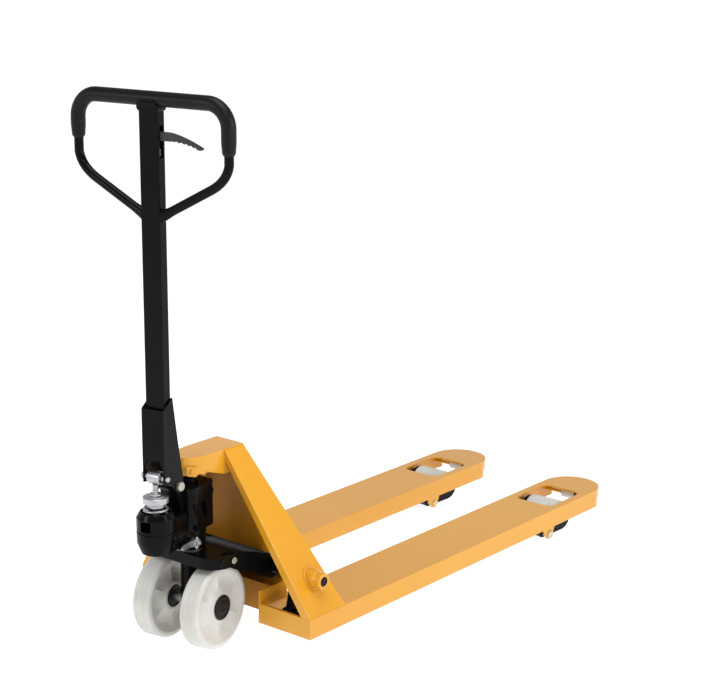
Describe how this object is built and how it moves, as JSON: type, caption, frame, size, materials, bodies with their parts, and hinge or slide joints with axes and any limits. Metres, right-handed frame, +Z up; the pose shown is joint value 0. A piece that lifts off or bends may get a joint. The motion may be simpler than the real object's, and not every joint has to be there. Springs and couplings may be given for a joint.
{
  "type": "pallet jack",
  "caption": "Hand pallet jack with two low forks, a steered twin wheel pump unit, an upright tiller with a D-shaped loop handle, and load rollers that swing down to lift.",
  "frame": {"origin": "on the floor, at the middle of the overall footprint, forks lowered", "axes": "+X towards the fork tips, +Y to the left fork, +Z up"},
  "size_m": [1.5516, 0.56, 1.2945],
  "materials": {
    "yellow_paint": "glossy orange-yellow enamel",
    "black_paint": "gloss black enamel",
    "zinc_plate": "bright zinc plate",
    "pin_steel": "ground steel",
    "nylon": "satin off-white nylon",
    "rubber_grip": "matt black moulded rubber",
    "black_plastic": "satin black plastic"
  },
  "bodies": {
    "chassis": {"head_housing": "yellow_paint", "bulkhead": "yellow_paint", "fork_left": "yellow_paint", "fork_right": "yellow_paint", "cross_member": "yellow_paint", "shaft_boss_left": "yellow_paint", "shaft_boss_right": "yellow_paint", "shaft_cap_left": "black_plastic", "shaft_cap_right": "black_plastic", "retaining_strap": "yellow_paint", "entry_pin_left": "yellow_paint", "entry_pin_right": "yellow_paint", "yoke_pivot_pin_left": "zinc_plate", "yoke_pivot_pin_right": "zinc_plate"},
    "rocker": {"rocker_arm": "black_paint", "torsion_shaft": "black_paint", "rod_lever_left": "black_paint", "rod_lever_right": "black_paint"},
    "push_rod_left": {"push_rod_left": "black_paint"},
    "push_rod_right": {"push_rod_right": "black_paint"},
    "yoke_left": {"yoke_left": "black_paint", "load_axle_left": "zinc_plate"},
    "yoke_right": {"yoke_right": "black_paint", "load_axle_right": "zinc_plate"},
    "load_roller_left": {"load_roller_left": "nylon"},
    "load_roller_right": {"load_roller_right": "nylon"},
    "entry_roller_left": {"entry_roller_left": "nylon"},
    "entry_roller_right": {"entry_roller_right": "nylon"},
    "bracket": {"bracket": "black_paint", "bracket_pin_left": "pin_steel", "bracket_pin_right": "pin_steel", "thrust_bearing": "pin_steel"},
    "pump": {"pump_body": "black_paint", "seal_collar": "black_paint", "pivot_shaft": "pin_steel", "steer_axle": "zinc_plate", "plunger_spring": "pin_steel"},
    "ram": {"ram": "zinc_plate"},
    "release_lever": {"release_lever": "zinc_plate"},
    "steer_wheel_left": {"steer_wheel_left": "nylon", "wheel_bearing_left": "black_plastic", "hub_cap_left": "black_plastic"},
    "steer_wheel_right": {"steer_wheel_right": "nylon", "wheel_bearing_right": "black_plastic", "hub_cap_right": "black_plastic"},
    "handle": {"handle_base": "black_paint", "handle_tube": "black_paint", "handle_loop": "black_paint", "grip_sleeve": "rubber_grip", "lever_pin": "zinc_plate", "roller_pin": "zinc_plate"},
    "finger_lever": {"finger_lever": "black_plastic"},
    "release_rod": {"release_rod": "zinc_plate"},
    "pressure_roller": {"pressure_roller": "zinc_plate"},
    "plunger": {"plunger": "zinc_plate"}
  },
  "joints": [
    {"name": "lift", "type": "hinge", "parent": "chassis", "child": "rocker", "pos_m": [-0.44018, 0, 0.16], "axis": [0, -1, 0], "range_deg": [0, 44.15]},
    {"name": "bracket_level", "type": "hinge", "parent": "rocker", "child": "bracket", "pos_m": [-0.58218, 0, 0.217], "axis": [0, -1, 0], "range_deg": [-44.25, 0]},
    {"name": "steering", "type": "hinge", "parent": "bracket", "child": "pump", "pos_m": [-0.61318, 0, 0.234], "axis": [0, 0, 1], "range_deg": [-98, 81]},
    {"name": "ram_slide", "type": "slide", "parent": "pump", "child": "ram", "axis": [0, 0, 1], "range_m": [0, 0.1155]},
    {"name": "handle_tilt", "type": "hinge", "parent": "pump", "child": "handle", "pos_m": [-0.68241, -0.01035, 0.404], "axis": [0.1478, -0.989, 0], "range_deg": [0, 75], "stiffness_Nm_per_rad": 14, "springref_deg": -74.48},
    {"name": "plunger_press", "type": "slide", "parent": "pump", "child": "plunger", "axis": [0, 0, -1], "range_m": [0, 0.069], "deforming": ["plunger_spring"]},
    {"name": "pressure_roller_spin", "type": "hinge", "parent": "handle", "child": "pressure_roller", "pos_m": [-0.72791, -0.01715, 0.433], "axis": [-0.1478, 0.989, 0], "continuous": true},
    {"name": "finger_lever_tilt", "type": "hinge", "parent": "handle", "child": "finger_lever", "pos_m": [-0.71238, -0.02291, 1.199], "axis": [0.989, 0.1478, 0], "range_deg": [-12, 12], "stiffness_Nm_per_rad": 2},
    {"name": "release_rod_slide", "type": "slide", "parent": "handle", "child": "release_rod", "axis": [0, 0, 1], "range_m": [-0.0036, 0.0036]},
    {"name": "release_lever_tilt", "type": "hinge", "parent": "pump", "child": "release_lever", "pos_m": [-0.64213, -0.04983, 0.262], "axis": [-0.1478, 0.989, 0], "range_deg": [-10, 10]},
    {"name": "steer_wheel_left_spin", "type": "hinge", "parent": "pump", "child": "steer_wheel_left", "pos_m": [-0.62308, 0.06626, 0.1005], "axis": [-0.1478, 0.989, 0], "continuous": true},
    {"name": "push_rod_left_slide", "type": "slide", "parent": "chassis", "child": "push_rod_left", "axis": [1, 0, 0], "range_m": [0, 0.0709]},
    {"name": "yoke_left_swing", "type": "hinge", "parent": "chassis", "child": "yoke_left", "pos_m": [0.47982, 0.195, 0.02], "axis": [0, 1, 0], "range_deg": [0, 90.1]},
    {"name": "load_roller_left_spin", "type": "hinge", "parent": "yoke_left", "child": "load_roller_left", "pos_m": [0.57482, 0.195, 0.04], "axis": [0, 1, 0], "continuous": true},
    {"name": "entry_roller_left_spin", "type": "hinge", "parent": "chassis", "child": "entry_roller_left", "pos_m": [0.69382, 0.195, 0.062], "axis": [0, 1, 0], "continuous": true},
    {"name": "steer_wheel_right_spin", "type": "hinge", "parent": "pump", "child": "steer_wheel_right", "pos_m": [-0.60328, -0.06626, 0.1005], "axis": [-0.1478, 0.989, 0], "continuous": true},
    {"name": "push_rod_right_slide", "type": "slide", "parent": "chassis", "child": "push_rod_right", "axis": [1, 0, 0], "range_m": [0, 0.0709]},
    {"name": "yoke_right_swing", "type": "hinge", "parent": "chassis", "child": "yoke_right", "pos_m": [0.47982, -0.195, 0.02], "axis": [0, 1, 0], "range_deg": [0, 90.1]},
    {"name": "load_roller_right_spin", "type": "hinge", "parent": "yoke_right", "child": "load_roller_right", "pos_m": [0.57482, -0.195, 0.04], "axis": [0, 1, 0], "continuous": true},
    {"name": "entry_roller_right_spin", "type": "hinge", "parent": "chassis", "child": "entry_roller_right", "pos_m": [0.69382, -0.195, 0.062], "axis": [0, 1, 0], "continuous": true}
  ],
  "couplings": [
    {"joint": "bracket_level", "follows": "lift", "ratio": -1},
    {"joint": "ram_slide", "follows": "lift", "m_per_rad": 0.14924},
    {"joint": "push_rod_left_slide", "follows": "lift", "m_per_rad": 0.09175},
    {"joint": "yoke_left_swing", "follows": "lift", "ratio": 2.0385},
    {"joint": "push_rod_right_slide", "follows": "lift", "m_per_rad": 0.09175},
    {"joint": "yoke_right_swing", "follows": "lift", "ratio": 2.0385},
    {"joint": "plunger_press", "follows": "handle_tilt", "m_per_rad": 0.05241},
    {"joint": "release_rod_slide", "follows": "finger_lever_tilt", "m_per_rad": 0.016},
    {"joint": "release_lever_tilt", "follows": "finger_lever_tilt", "ratio": 0.8}
  ]
}
